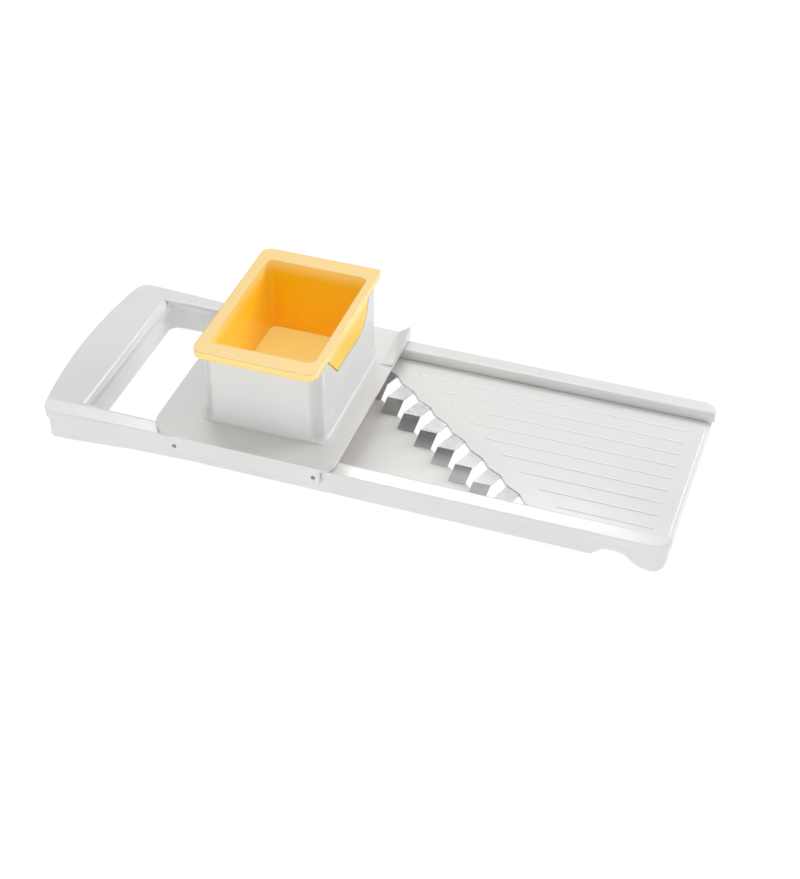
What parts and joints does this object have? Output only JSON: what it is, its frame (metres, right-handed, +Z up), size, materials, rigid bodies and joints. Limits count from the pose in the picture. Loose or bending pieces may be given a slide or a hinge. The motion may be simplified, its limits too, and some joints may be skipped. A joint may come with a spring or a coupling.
{
  "type": "vegetable dicer",
  "caption": "Long slicing frame with a diagonal comb blade, a chimney carriage sliding on its rails and a box pusher that presses food through it.",
  "frame": {"origin": "on the worktop, under the middle of the frame's length and width", "axes": "+X from the handle to the foot end, +Y across to the side the blade starts from, +Z up"},
  "size_m": [0.36, 0.1306, 0.072],
  "materials": {
    "white_plastic": "satin moulded polystyrene",
    "blade_steel": "ground stainless strip",
    "amber_plastic": "satin moulded polystyrene"
  },
  "bodies": {
    "base": {"frame": "white_plastic", "comb_blade": "blade_steel"},
    "carriage": {"carriage": "white_plastic"},
    "pusher": {"pusher": "amber_plastic"}
  },
  "joints": [
    {"name": "carriage_slide", "type": "slide", "parent": "base", "child": "carriage", "axis": [1, 0, 0], "range_m": [-0.01, 0.182]},
    {"name": "pusher_slide", "type": "slide", "parent": "carriage", "child": "pusher", "axis": [0, 0, 1], "range_m": [0, 0.06]}
  ]
}
